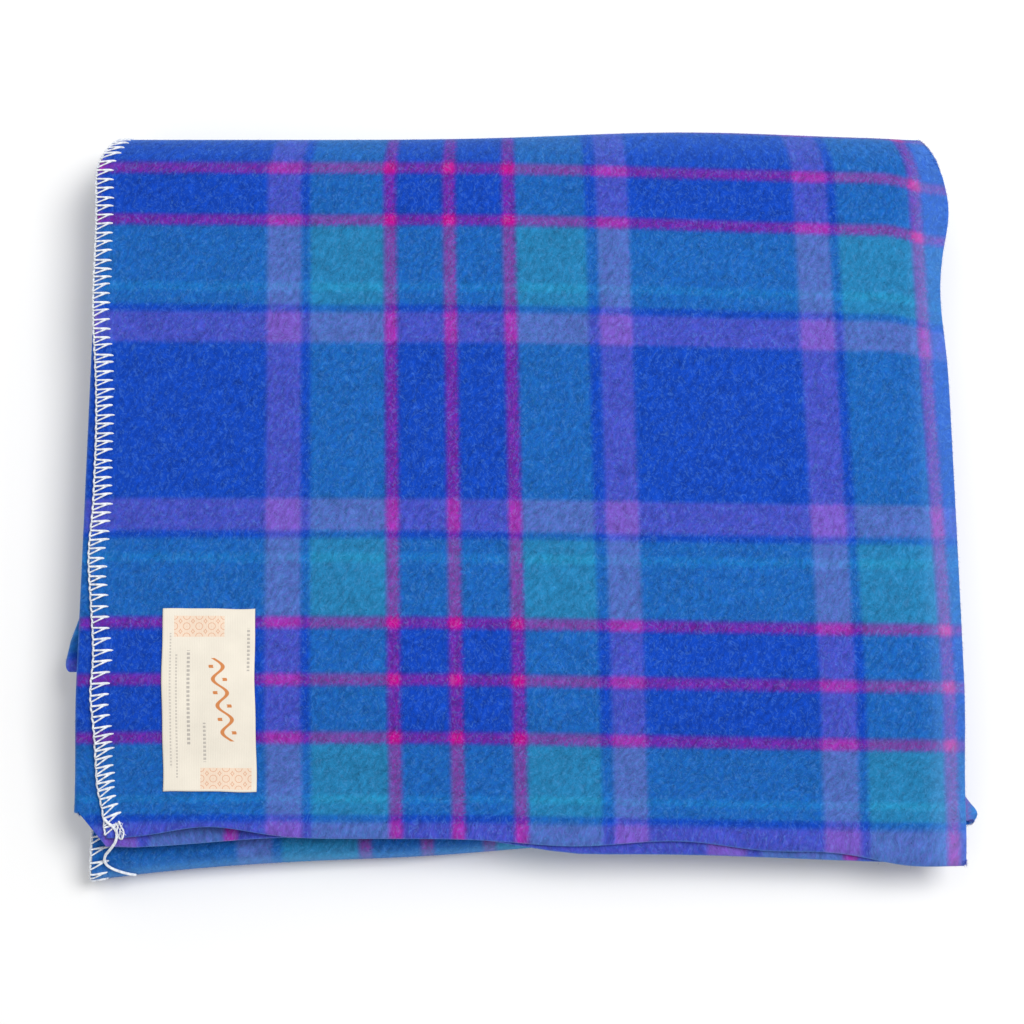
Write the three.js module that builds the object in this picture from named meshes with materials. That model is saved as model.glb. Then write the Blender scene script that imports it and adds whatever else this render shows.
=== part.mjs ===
// A single-bed plaid wool blanket, folded into a flat pack, in millimetres, +Z up.
//
// The blanket is one sheet. It is folded back and forth along its length into four
// panels, then twice across its width, so that the pack is sixteen layers thick:
//   panels 1 to 4   lie on each other, panel 1 outside, joined by folds at right, left, right;
//   runs 1 to 4     are the same four panels seen from the side: along the top from the front
//                   selvedge, round the thick back fold, along the bottom, round the front
//                   roll, back through the middle, and forward again to the other selvedge.
// +X runs along the front edge, +Y to the thick back fold, and the pack lies on Z = 0.

import * as THREE from 'three';
import { mergeVertices } from 'three/addons/utils/BufferGeometryUtils.js';

// ---------------------------------------------------------------- driving sizes
const SHEET = 2.5;            // thickness of the napped wool cloth
const PITCH = 3.2;            // height from the middle of one layer to the next
const MID_HEIGHT = 8 * PITCH; // height of the back fold's axis
const BACK_Y = 196;           // axis of the back fold
const FRONT_Y = -188;         // axis of the front roll
const ORIGIN = { x: -8, y: 4 };             // middle of the pack's footprint, in the folding frame

// Where the edges and folds lie along X in runs 1 to 4.
const EDGE_X = {
  cutEnd: [-254.3, -256, -252, -250],      // stitched end of panel 1
  rightFold1: [244, 240, 238, 242],        // panel 1 to panel 2
  leftFold: [-258.5, -247, -246, -257],    // panel 2 to panel 3
  rightFold2: [237, 240, 237, 241],        // panel 3 to panel 4
  farEnd: [-243, -239, -246, -241],        // stitched end of panel 4
};

const INNER_SELVEDGE_Y = -114;   // where run 4 ends on the innermost panel
const INNER_STAGGER = 10;        // how much further back it ends on each panel outwards

const BACK_TAPER = 0.030;        // share by which the pack narrows round the back fold
const MIDDLE_SAG = 0.045;        // share by which its middle lies lower than its rim
const ROLLING_SWELL = 0.02;      // share by which the layers rise and dip over long waves
const RIGHT_DROOP = 0.055;       // share by which it thins towards the folds at right
const STEP_DOWN = 0.85 * 4 * PITCH;      // how far run 1 drops in front of run 4's end
const MOUTH = { x: -183, reach: 30, lift: 6.5, depth: 45, retreat: 6.3 };   // raised front edge

const LABEL = { x: -184.4, y: -121.5, width: 54, length: 104.6, thickness: 1, gap: 0.7, slant: -0.022 };
const YARN = { diameter: 1.6, sides: 8, steps: 22 };

// Route of the loose end of the edge yarn, in the part's frame: along the front left corner of
// the top layer, over its selvedge, down to the front roll and round the roll's front.
const YARN_TAIL = [
  [-234.5, -192.6, 41.5],
  [-232.1, -194.8, 41.5],
  [-229.2, -197, 41.6],
  [-227.1, -199.8, 41.6],
  [-226.9, -203, 41.7],
  [-228, -205.8, 40.2],
  [-229.9, -208, 38.2],
  [-232.2, -210.2, 35.4],
  [-234.8, -212.3, 31.2],
  [-236.1, -215, 27.6],
  [-235.1, -217.7, 25.4],
  [-231.8, -219.9, 24],
  [-227.6, -221.5, 21.9],
  [-223.5, -222.6, 19.6],
  [-219.8, -223.2, 17.5],
];

// Grid lines of the folded sheet, the same in every panel and run.
const PANEL_LINES = [-232, -208, -183, -158, -130, -60, 24, 128, 212];
const TOP_RUN_LINES = [-180, -160, -135, -110, -55, 10, 75, 140];
const LOWER_RUN_LINES = [-135, -55, 10, 75, 140];
const INNER_RUN_LINES = [-55, 10, 75, 140];
const SMALL_FOLD_STEPS = 3;
const BACK_FOLD_STEPS = 8;
const FRONT_ROLL_STEPS = 6;
const INNER_FOLD_STEPS = 4;

// ---------------------------------------------------------------- helpers
const clamp01 = (t) => Math.min(1, Math.max(0, t));
const smooth = (t) => clamp01(t) ** 2 * (3 - 2 * clamp01(t));
const bump = (t) => Math.exp(-t * t);
const lerp = THREE.MathUtils.lerp;

// Value that a per-run table has at a width station, blended round the turns.
const alongRuns = (table, station) => lerp(table[station.from], table[station.to], smooth(station.turn));
const shareOfRun = (run, station) => alongRuns([0, 1, 2, 3].map((i) => (i === run ? 1 : 0)), station);

// ---------------------------------------------------------------- the edges' uneven lines
const EDGE_SHAPES = {
  // the first cut end slants and wanders a little on top of the pack
  cutEnd: (s) => shareOfRun(0, s) * (-0.0543 * s.y + 6.9e-5 * s.y ** 2 + Math.sin(s.y / 21)
    + 1.8 * bump((s.y - 75) / 40) - 2.6 * smooth((-5 - s.y) / 40) + 2.6 * smooth((-168 - s.y) / 22)
    - 2 * bump((s.y + 119) / 16)),
  // the top fold bulges at the back corner and dips in front of it
  rightFold1: (s) => shareOfRun(0, s) * (5 * bump((s.y - 172) / 22) - 2.5 * bump((s.y - 118) / 30)),
  // the selvedge corner of the inner run flares out at left
  leftFold: (s) => -11 * shareOfRun(3, s) * bump((s.y + 99) / 28),
  // a lower fold shows at the front right corner
  rightFold2: (s) => 15 * shareOfRun(0, s) * bump((s.y + 188) / 17),
  farEnd: (s) => Math.sin(s.y / 30),
};
const edgeX = (name, station) => alongRuns(EDGE_X[name], station) + EDGE_SHAPES[name](station);

// Front selvedge of each panel in run 1, from the innermost panel (4) to the outermost (1).
const SELVEDGE_Y = [
  () => -191,
  (x) => -196 + 7 * smooth(x / 200) + 11 * smooth((-222 - x) / 35),
  (x) => -198.5 - 9.5 * smooth((x + 50) / 85) - 5 * smooth((x - 60) / 190) - 6 * smooth((-130 - x) / 110)
    + 20 * clamp01((-238 - x) / 20.5) ** 2,
  (x) => -199.5 - 14.5 * smooth((x - 100) / 150) + MOUTH.retreat * bump((x - MOUTH.x) / 32)
    - 4.2 * bump((x - 24) / 42) - 5 * bump((x - 128) / 34) - 2.5 * bump((x - 212) / 25),
];
function selvedgeY(x, height) {
  const level = Math.min(height / PITCH, 3);
  const below = Math.min(Math.floor(level), 2);
  return lerp(SELVEDGE_Y[below](x), SELVEDGE_Y[below + 1](x), level - below);
}

// ---------------------------------------------------------------- folds along the length
// A length station gives x and the height in the four-panel stack of the sheet's middle,
// and the direction (nx, nh) in which the sheet's outer face lies from it.
function lengthStations() {
  const stations = [];
  const flat = (x, height, nh) => stations.push({ x, height, nx: 0, nh });
  const panel = (fromEdge, toEdge, height, nh, lines) => {
    flat((w) => edgeX(fromEdge, w), height, nh);
    for (const line of lines) flat(() => line, height, nh);
    flat((w) => edgeX(toEdge, w), height, nh);
  };
  const fold = (edge, side, middle) => {
    for (let i = 1; i < SMALL_FOLD_STEPS; i += 1) {
      const angle = (Math.PI * i) / SMALL_FOLD_STEPS;
      const reach = (side * PITCH * Math.sin(angle)) / 2;
      stations.push({
        x: (w) => edgeX(edge, w) + reach,
        height: middle + (PITCH * Math.cos(angle)) / 2,
        nx: Math.sin(angle),
        nh: side * Math.cos(angle),
      });
    }
  };
  const rightwards = PANEL_LINES;
  const leftwards = [...PANEL_LINES].reverse();
  panel('cutEnd', 'rightFold1', 3 * PITCH, 1, rightwards);
  fold('rightFold1', 1, 2.5 * PITCH);
  panel('rightFold1', 'leftFold', 2 * PITCH, -1, leftwards);
  fold('leftFold', -1, 1.5 * PITCH);
  panel('leftFold', 'rightFold2', PITCH, 1, rightwards);
  fold('rightFold2', 1, 0.5 * PITCH);
  panel('rightFold2', 'farEnd', 0, -1, leftwards);
  return stations;
}

// ---------------------------------------------------------------- folds across the width
// A width station places a stack height h at (y0 + h * ny, z0 + h * nz). from, to and turn
// say between which runs it lies, and y is its place along a run, for the edges' lines.
function widthStations() {
  const stations = [];
  const run = (number, y, z0, nz, y0 = () => y) =>
    stations.push({ from: number, to: number, turn: 0, y, y0, z0, ny: 0, nz });
  const turnAbout = (number, axisY, axisZ, radius, outward, side, steps) => {
    for (let i = 1; i < steps; i += 1) {
      const angle = (Math.PI * i) / steps;
      const rise = Math.cos(angle) * (number === 0 ? 1 : -1);
      stations.push({
        from: number,
        to: number + 1,
        turn: i / steps,
        y: axisY,
        y0: () => axisY + side * radius * Math.sin(angle),
        z0: axisZ + radius * rise,
        ny: outward * side * Math.sin(angle),
        nz: outward * rise,
      });
    }
  };
  const top = 12.5 * PITCH;
  const firstLine = TOP_RUN_LINES[0];
  run(0, -196, top, 1, selvedgeY);
  run(0, -188, top, 1, (x, height) => (selvedgeY(x, height) + firstLine) / 2);
  for (const y of [...TOP_RUN_LINES, BACK_Y]) run(0, y, top, 1);
  turnAbout(0, BACK_Y, MID_HEIGHT, 4.5 * PITCH, 1, 1, BACK_FOLD_STEPS);
  for (const y of [BACK_Y, ...[...LOWER_RUN_LINES].reverse(), FRONT_Y]) run(1, y, 3.5 * PITCH, -1);
  turnAbout(1, FRONT_Y, MID_HEIGHT / 2, 0.5 * PITCH, 1, -1, FRONT_ROLL_STEPS);
  for (const y of [FRONT_Y, ...LOWER_RUN_LINES, BACK_Y]) run(2, y, 4.5 * PITCH, 1);
  turnAbout(2, BACK_Y, MID_HEIGHT, 3.5 * PITCH, -1, 1, INNER_FOLD_STEPS);
  for (const y of [BACK_Y, ...[...INNER_RUN_LINES].reverse()]) run(3, y, 11.5 * PITCH, -1);
  run(3, -99, 11.5 * PITCH, -1, (x, height) => INNER_SELVEDGE_Y + (INNER_STAGGER * height) / PITCH);
  return stations;
}

// ---------------------------------------------------------------- how the pack settles
const frontRollShift = (x) => 4 - 15 * Math.exp(-(x + 245) / 110) - 9.5 * smooth((110 - x) / 200);
// the thick back fold bulges back, most of all right of its middle
const backBulge = (x, y) => (4.6 + 4.9 * bump((x - 95) / 100)) * smooth((y - 130) / 80);

function settle(x, y, z) {
  const level = z / PITCH;
  const backwards = smooth((y - BACK_Y + 8) / 33);
  const settledX = x * (1 - BACK_TAPER * backwards);
  let settledY = y + backBulge(x, y);
  let settledZ = z - (PITCH - SHEET) / 2;
  const sag = MIDDLE_SAG * clamp01(1 - (x / 250) ** 2) * clamp01(1 - (y / 230) ** 2);
  const swell = ROLLING_SWELL * Math.sin(x / 55 + 0.8) * Math.sin(y / 62 - 0.4);
  settledZ *= 1 - sag + swell - RIGHT_DROOP * smooth((x - 213) / 34);
  if (level < 8) {
    settledY += frontRollShift(x) * clamp01((BACK_Y - y) / (BACK_Y - FRONT_Y));
  }
  if (level > 12) {
    const overhang = Math.max(0, FRONT_Y + frontRollShift(x) - 2 - y);
    settledZ -= STEP_DOWN * smooth((-110 - y) / 75) + overhang ** 2 / 150;
  }
  if (level > 15) {
    settledZ += MOUTH.lift * bump((x - MOUTH.x) / MOUTH.reach) * smooth((MOUTH.depth - 195 - y) / MOUTH.depth);
  }
  return [settledX - ORIGIN.x, settledY - ORIGIN.y, settledZ];
}

// Place on the folded blanket of a length station, a width station and a distance from
// the sheet's middle, outwards.
function foldedPoint(length, width, offset) {
  const x = length.x(width) + offset * length.nx;
  const height = length.height + offset * length.nh;
  const y = width.y0(x, length.height) + height * width.ny;
  return settle(x, y, width.z0 + height * width.nz);
}

// ---------------------------------------------------------------- the pieces
const wool = (colour) => new THREE.MeshStandardMaterial({ color: colour, roughness: 0.95, metalness: 0 });

function latticeBox(columns, rows, place) {
  const box = new THREE.BoxGeometry(columns, rows, 1, columns, rows, 1);
  box.deleteAttribute('normal');
  box.deleteAttribute('uv');
  const geometry = mergeVertices(box);
  const position = geometry.getAttribute('position');
  for (let i = 0; i < position.count; i += 1) {
    const column = Math.round(position.getX(i) + columns / 2);
    const row = Math.round(position.getY(i) + rows / 2);
    position.setXYZ(i, ...place(column, row, Math.sign(position.getZ(i))));
  }
  geometry.computeVertexNormals();
  return geometry;
}

function makeBlanket() {
  const lengths = lengthStations();
  const widths = widthStations();
  const geometry = latticeBox(lengths.length - 1, widths.length - 1, (column, row, side) =>
    foldedPoint(lengths[column], widths[row], (side * SHEET) / 2));
  const blanket = new THREE.Mesh(geometry, wool(0x1f5cc4));
  blanket.name = 'blanket';
  return blanket;
}

// The label's lattice has the cloth's grid lines and the middles between them, so that it
// creases where the cloth does.
const linesBetween = (middle, size, lines) => {
  const from = middle - size / 2;
  const to = middle + size / 2;
  const creases = [from, ...lines.filter((line) => line > from && line < to), to];
  return creases.flatMap((line, i) => (i === 0 ? [line] : [(creases[i - 1] + line) / 2, line]));
};

function makeLabel(blanket) {
  const columns = linesBetween(LABEL.x, LABEL.width, PANEL_LINES);
  const rows = linesBetween(LABEL.y, LABEL.length, TOP_RUN_LINES);
  const ray = new THREE.Raycaster();
  const down = new THREE.Vector3(0, 0, -1);
  const geometry = latticeBox(columns.length - 1, rows.length - 1, (column, row, side) => {
    const x = columns[column] + LABEL.slant * (rows[row] - LABEL.y) - ORIGIN.x;
    const y = rows[row] - ORIGIN.y;
    ray.set(new THREE.Vector3(x, y, 3 * MID_HEIGHT), down);
    const surface = ray.intersectObject(blanket)[0].point.z;
    return [x, y, surface + LABEL.gap + (side > 0 ? LABEL.thickness : 0)];
  });
  const ribbon = new THREE.MeshStandardMaterial({ color: 0xe9e0c4, roughness: 0.6, metalness: 0 });
  const label = new THREE.Mesh(geometry, ribbon);
  label.name = 'label';
  return label;
}

function makeYarnTail() {
  const radius = YARN.diameter / 2;
  const corners = Array.from({ length: YARN.sides }, (_, i) => {
    const angle = (2 * Math.PI * i) / YARN.sides;
    return new THREE.Vector2(radius * Math.cos(angle), radius * Math.sin(angle));
  });
  const route = new THREE.CatmullRomCurve3(YARN_TAIL.map((point) => new THREE.Vector3(...point)));
  const geometry = new THREE.ExtrudeGeometry(new THREE.Shape(corners), {
    steps: YARN.steps,
    extrudePath: route,
    bevelEnabled: false,
  });
  const tail = new THREE.Mesh(geometry, wool(0xf1f1ee));
  tail.name = 'yarn_tail';
  return tail;
}

const blanket = makeBlanket();
const pack = new THREE.Group();
pack.add(blanket, makeLabel(blanket), makeYarnTail());

export default pack;
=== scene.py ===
"""Looks of a single-bed plaid wool blanket, folded into a flat pack sixteen layers thick.

The blanket is one napped sheet. It is folded back and forth along its length into four panels,
then twice across its width. Both cut ends are overcast with white yarn, whose loose end trails
over the front left corner, and a ribbon label is sewn near that corner. Lengths in the classes
are in millimetres unless a name says otherwise; meshes are in metres.
"""

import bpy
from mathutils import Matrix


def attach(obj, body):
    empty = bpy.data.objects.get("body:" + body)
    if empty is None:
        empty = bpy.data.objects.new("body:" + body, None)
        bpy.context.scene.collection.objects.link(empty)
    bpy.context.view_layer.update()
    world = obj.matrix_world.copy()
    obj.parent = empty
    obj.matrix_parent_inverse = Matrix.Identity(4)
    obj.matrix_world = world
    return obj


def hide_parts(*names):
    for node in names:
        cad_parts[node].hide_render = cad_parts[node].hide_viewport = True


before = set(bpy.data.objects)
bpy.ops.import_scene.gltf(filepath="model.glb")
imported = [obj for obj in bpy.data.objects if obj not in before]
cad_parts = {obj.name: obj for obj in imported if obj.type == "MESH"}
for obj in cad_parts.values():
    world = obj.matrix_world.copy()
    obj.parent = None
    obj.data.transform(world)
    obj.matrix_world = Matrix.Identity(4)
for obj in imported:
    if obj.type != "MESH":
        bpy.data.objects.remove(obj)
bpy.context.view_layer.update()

import logging
import math
from collections.abc import Callable
from dataclasses import dataclass, field
from enum import Enum

import bmesh
import bpy
import numpy as np
from bpy.types import Curve, Material, Mesh, Node, NodeSocket, NodeTree, Object
from mathutils import Vector

MM = 0.001
# How strongly a painted highlight pales the cloth as a face turns up on edge, and the height in metres
# above which the folds at the right and the back, which face the lights, get a painted highlight as well.
EDGE_HIGHLIGHT_GAIN = 1.35
UPPER_HALF = 0.03
# Lowest place that a strand's surface may reach, and the yarn's girth in its own map, in metres.
FLOOR_GAP = 0.05 * MM
YARN_GIRTH = 3 * MM
LOG = logging.getLogger("blanket")

Array = np.ndarray
Pair = tuple[float, float]
Triple = tuple[float, float, float]
SheetLay = Callable[[Array, Array, Array, Array, Array], tuple[Array, Array]]


def smooth(t: Array) -> Array:
    """Eased step from 0 to 1 as t goes from 0 to 1."""
    t = np.clip(t, 0.0, 1.0)
    return t * t * (3.0 - 2.0 * t)


def bump(t: Array) -> Array:
    """Bell of height 1 about t = 0."""
    return np.exp(-t * t)


def unit(vectors: Array) -> Array:
    """Vectors at length 1."""
    return vectors / np.maximum(np.linalg.norm(vectors, axis=-1, keepdims=True), 1e-12)


# ------------------------------------------------------------------------- the folds
@dataclass(frozen=True)
class Line:
    """A drawn line: a level with eased steps and bells along it.

    Attributes:
        level: Value where no step or bell reaches.
        steps: Rise, start and reach of each step, which runs backwards where its reach is negative.
        bells: Height, middle and reach of each bell.
    """

    level: float = 0.0
    steps: tuple[Triple, ...] = ()
    bells: tuple[Triple, ...] = ()

    def at(self, places: Array) -> Array:
        """Values at places along the line."""
        value = np.full_like(places, self.level)
        for rise, start, reach in self.steps:
            value = value + rise * smooth((places - start) / reach)
        for height, middle, reach in self.bells:
            value = value + height * bump((places - middle) / reach)
        return value


@dataclass(frozen=True)
class Rows:
    """Places across the width: how a stack height is laid out in y and z there.

    Attributes:
        first: Run that the place belongs to or comes from.
        last: Run that it goes to, the same as first along a run.
        turn: Share of the turn from first to last.
        section: 0, 2, 4 and 6 along runs 1 to 4, and 1, 3 and 5 round the turns between them.
        y: Place along the run, before the selvedges' own lines.
        base_y: Where stack height 0 lies along Y.
        base_z: Where stack height 0 lies along Z.
        ny: Change of Y with stack height.
        nz: Change of Z with stack height.
        part: Share of the section.
    """

    first: Array
    last: Array
    turn: Array
    section: Array
    y: Array
    base_y: Array
    base_z: Array
    ny: Array
    nz: Array
    part: Array


@dataclass(frozen=True)
class FoldPlan:
    """Where the folded sheet lies, as a map from places on the sheet to places in the pack.

    A place along the length is c: 0 to 1 on panel 1, 1 to 2 round the fold to panel 2, and so on
    to 7 at the far cut end. A place across the width is q: 0 to 1 on run 1 from the front
    selvedge, 1 to 2 round the back fold, and so on to 7 at the other selvedge. Heights in the
    stack of four panels are 0 at the middle of panel 4 and 3 pitches at the middle of panel 1.

    Attributes:
        sheet: Thickness of the cloth.
        pitch: Height from the middle of one layer to the next.
        back_y, front_y: Axes of the back fold and the front roll.
        front_row, fixed_row: Where run 1 is planned to end, and where its end starts to bend.
        inner_row, inner_fixed_row: The same for run 4.
        inner_selvedge, inner_stagger: Where run 4 ends inside, and how much earlier by panel.
        origin: Middle of the pack's footprint.
        cut_end, right_fold_1, left_fold, right_fold_2, far_end: X of the ends and folds by run.
        cut_bow: Slope, curve and wavelength of the cut end on run 1.
        cut_shape, right_shape_1, left_shape, right_shape_2: Their lines along Y.
        far_wave: Wavelength of the far cut end.
        selvedge_lines: Y of the front selvedge by panel, lowest first.
        tuck: Depth, start and reach of the tuck in the third of them, at its left end.
        back_taper: Share by which the pack narrows round the back fold.
        middle_sag: Share by which its middle lies lower than its rim.
        rolling_swell: Share by which the layers rise and dip over long waves.
        right_droop: Share by which it thins towards the folds at right.
        step_down: Layers that run 1 drops by in front of run 4's end.
        mouth_x, mouth_reach, mouth_lift, mouth_depth: The raised part of the front edge.
        cloth_turn: Turn of the weave on the sheet.
        cut_line, selvedge_line: Where length and width are 0 on the flat sheet.
        blend_width: How far from a fold the panels' widths are evened out.
    """

    sheet: float = 2.5
    pitch: float = 3.2
    back_y: float = 196.0
    front_y: float = -188.0
    front_row: float = -196.0
    fixed_row: float = -180.0
    inner_row: float = -99.0
    inner_fixed_row: float = -55.0
    inner_selvedge: float = -114.0
    inner_stagger: float = 10.0
    origin: Pair = (-8.0, 4.0)
    cut_end: tuple[float, ...] = (-254.3, -256.0, -252.0, -250.0)
    right_fold_1: tuple[float, ...] = (244.0, 240.0, 238.0, 242.0)
    left_fold: tuple[float, ...] = (-258.5, -247.0, -246.0, -257.0)
    right_fold_2: tuple[float, ...] = (237.0, 240.0, 237.0, 241.0)
    far_end: tuple[float, ...] = (-243.0, -239.0, -246.0, -241.0)
    cut_bow: Triple = (-0.0543, 6.9e-5, 21.0)
    cut_shape: Line = Line(
        steps=((-2.6, -5.0, -40.0), (2.6, -168.0, -22.0)), bells=((1.8, 75.0, 40.0), (-2.0, -119.0, 16.0))
    )
    right_shape_1: Line = Line(bells=((5.0, 172.0, 22.0), (-2.5, 118.0, 30.0)))
    left_shape: Line = Line(bells=((-11.0, -99.0, 28.0),))
    right_shape_2: Line = Line(bells=((15.0, -188.0, 17.0),))
    far_wave: float = 30.0
    selvedge_lines: tuple[Line, ...] = (
        Line(-191.0),
        Line(-196.0, steps=((7.0, 0.0, 200.0), (11.0, -222.0, -35.0))),
        Line(-198.5, steps=((-9.5, -50.0, 85.0), (-5.0, 60.0, 190.0), (-6.0, -130.0, -110.0))),
        Line(
            -199.5,
            steps=((-14.5, 100.0, 150.0),),
            bells=((6.3, -183.0, 32.0), (-4.2, 24.0, 42.0), (-5.0, 128.0, 34.0), (-2.5, 212.0, 25.0)),
        ),
    )
    tuck: Triple = (20.0, -238.0, 20.5)
    back_taper: float = 0.030
    middle_sag: float = 0.045
    rolling_swell: float = 0.02
    right_droop: float = 0.055
    step_down: float = 0.85 * 4
    mouth_x: float = -183.0
    mouth_reach: float = 30.0
    mouth_lift: float = 6.5
    mouth_depth: float = 45.0
    cloth_turn: float = 0.021
    cut_line: float = 254.5
    selvedge_line: float = 197.5
    blend_width: float = 60.0

    @property
    def mid_height(self) -> float:
        """Height of the back fold's axis."""
        return 8 * self.pitch

    def rows(self, q: Array) -> Rows:
        """Lays places across the width out.

        Args:
            q: Places across the width, 0 to 7.

        Returns:
            What each of them needs to be placed.
        """
        p = self.pitch
        section = np.clip(np.floor(q), 0, 6).astype(int)
        part = q - section
        turning = section % 2 == 1
        first = section // 2
        last = np.where(turning, first + 1, first)
        turn = np.where(turning, part, 0.0)
        angle = np.pi * part
        run_y = np.choose(
            first,
            [
                self.front_row + (self.back_y - self.front_row) * part,
                self.back_y + (self.front_y - self.back_y) * part,
                self.front_y + (self.back_y - self.front_y) * part,
                self.back_y + (self.inner_row - self.back_y) * part,
            ],
        )
        run_z = np.choose(first, [12.5 * p, 3.5 * p, 4.5 * p, 11.5 * p])
        run_nz = np.choose(first, [1.0, -1.0, 1.0, -1.0])
        number = np.minimum(first, 2)
        axis_y = np.choose(number, [self.back_y, self.front_y, self.back_y])
        axis_z = np.choose(number, [self.mid_height, self.mid_height / 2, self.mid_height])
        radius = np.choose(number, [4.5 * p, 0.5 * p, 3.5 * p])
        outward = np.choose(number, [1.0, 1.0, -1.0])
        side = np.choose(number, [1.0, -1.0, 1.0])
        rise = np.cos(angle) * np.choose(number, [1.0, -1.0, -1.0])
        return Rows(
            first=first,
            last=last,
            turn=turn,
            section=section,
            y=np.where(turning, axis_y, run_y),
            base_y=np.where(turning, axis_y + side * radius * np.sin(angle), run_y),
            base_z=np.where(turning, axis_z + radius * rise, run_z),
            ny=np.where(turning, outward * side * np.sin(angle), 0.0),
            nz=np.where(turning, outward * rise, run_nz),
            part=part,
        )

    def along_runs(self, table: tuple[float, ...], rows: Rows) -> Array:
        """Value of a per-run table, blended round the turns."""
        values = np.asarray(table)
        share = smooth(rows.turn)
        return values[rows.first] * (1 - share) + values[np.minimum(rows.last, 3)] * share

    def share_of_run(self, run: int, rows: Rows) -> Array:
        """1 on one run, fading to 0 round its turns."""
        return self.along_runs(tuple(float(i == run) for i in range(4)), rows)

    def edges(self, rows: Rows) -> Array:
        """X of the cut ends and folds at each place across the width, first end to far end."""
        y = rows.y
        top, inner = self.share_of_run(0, rows), self.share_of_run(3, rows)
        slope, curve, wave = self.cut_bow
        slant = slope * y + curve * y**2 + np.sin(y / wave) + self.cut_shape.at(y)
        return np.stack(
            [
                self.along_runs(self.cut_end, rows) + top * slant,
                self.along_runs(self.right_fold_1, rows) + top * self.right_shape_1.at(y),
                self.along_runs(self.left_fold, rows) + inner * self.left_shape.at(y),
                self.along_runs(self.right_fold_2, rows) + top * self.right_shape_2.at(y),
                self.along_runs(self.far_end, rows) + np.sin(y / self.far_wave),
            ]
        )

    def selvedge_y(self, x: Array, height: Array) -> Array:
        """Y of the front selvedge on run 1, for a place along X and a height in the stack."""
        lines = [line.at(x) for line in self.selvedge_lines]
        depth, start, reach = self.tuck
        lines[2] = lines[2] + depth * np.clip((start - x) / reach, 0, 1) ** 2
        level = np.clip(height / self.pitch, 0.0, 3.0)
        below = np.minimum(np.floor(level), 2).astype(int)
        share = level - below
        return np.choose(below, lines) * (1 - share) + np.choose(below + 1, lines) * share

    def laid_y(self, x: Array, middle: Array, rows: Rows) -> Array:
        """Y of stack height 0, with the selvedges' own lines."""
        front_share = np.clip((self.fixed_row - rows.y) / (self.fixed_row - self.front_row), 0, 1)
        front = self.fixed_row + (self.selvedge_y(x, middle) - self.fixed_row) * front_share
        inner_end = self.inner_selvedge + self.inner_stagger * middle / self.pitch
        span = self.inner_fixed_row - self.inner_row
        inner_share = np.clip((self.inner_fixed_row - rows.y) / span, 0, 1)
        inner = self.inner_fixed_row + (inner_end - self.inner_fixed_row) * inner_share
        at_front = (rows.section == 0) & (rows.y < self.fixed_row)
        at_inner = (rows.section == 6) & (rows.y < self.inner_fixed_row)
        return np.where(at_front, front, np.where(at_inner, inner, rows.base_y))

    def front_roll_shift(self, x: Array) -> Array:
        """How far the lower half of the pack lies back from its plan."""
        return 4 - 15 * np.exp(-(x + 245) / 110) - 9.5 * smooth((110 - x) / 200)

    def back_bulge(self, x: Array, y: Array) -> Array:
        """How far the thick back fold bulges back."""
        return (4.6 + 4.9 * bump((x - 95) / 100)) * smooth((y - 130) / 80)

    def settle(self, x: Array, y: Array, z: Array, level: Array) -> Array:
        """Settles planned places as the heap of cloth does.

        Args:
            x: Planned X.
            y: Planned Y.
            z: Planned Z.
            level: Number of the layer that the place belongs to, counted from below.

        Returns:
            Places in the part's frame, in millimetres, on the last axis.
        """
        p = self.pitch
        settled_x = x * (1 - self.back_taper * smooth((y - self.back_y + 8) / 33))
        settled_z = z - (p - self.sheet) / 2
        hollow = np.clip(1 - (x / 250) ** 2, 0, 1) * np.clip(1 - (y / 230) ** 2, 0, 1)
        swell = self.rolling_swell * np.sin(x / 55 + 0.8) * np.sin(y / 62 - 0.4)
        droop = self.right_droop * smooth((x - 213) / 34)
        settled_z = settled_z * (1 - self.middle_sag * hollow + swell - droop)
        shift = self.front_roll_shift(x)
        reach = np.clip((self.back_y - y) / (self.back_y - self.front_y), 0, 1)
        settled_y = y + self.back_bulge(x, y) + np.where(level < 8, shift * reach, 0.0)
        overhang = np.maximum(0.0, self.front_y + shift - 2 - y)
        drop = self.step_down * p * smooth((-110 - y) / 75) + overhang**2 / 150
        settled_z = settled_z - np.where(level > 12, drop, 0.0)
        depth = smooth((self.mouth_depth - 195 - y) / self.mouth_depth)
        lift = self.mouth_lift * bump((x - self.mouth_x) / self.mouth_reach) * depth
        settled_z = settled_z + np.where(level > 15, lift, 0.0)
        return np.stack(
            [settled_x - self.origin[0], settled_y - self.origin[1], settled_z], axis=-1
        )

    def place(self, x: Array, height: Array, middle: Array, rows: Rows) -> Array:
        """Place of a point of the stack.

        Args:
            x: Planned X.
            height: Height in the four-panel stack.
            middle: Height of the middle of the sheet that it belongs to.
            rows: Places across the width.

        Returns:
            Places in metres, on the last axis.
        """
        y = self.laid_y(x, middle, rows) + height * rows.ny
        level = (rows.base_z + middle * rows.nz) / self.pitch
        return self.settle(x, y, rows.base_z + height * rows.nz, level) * MM

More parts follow.
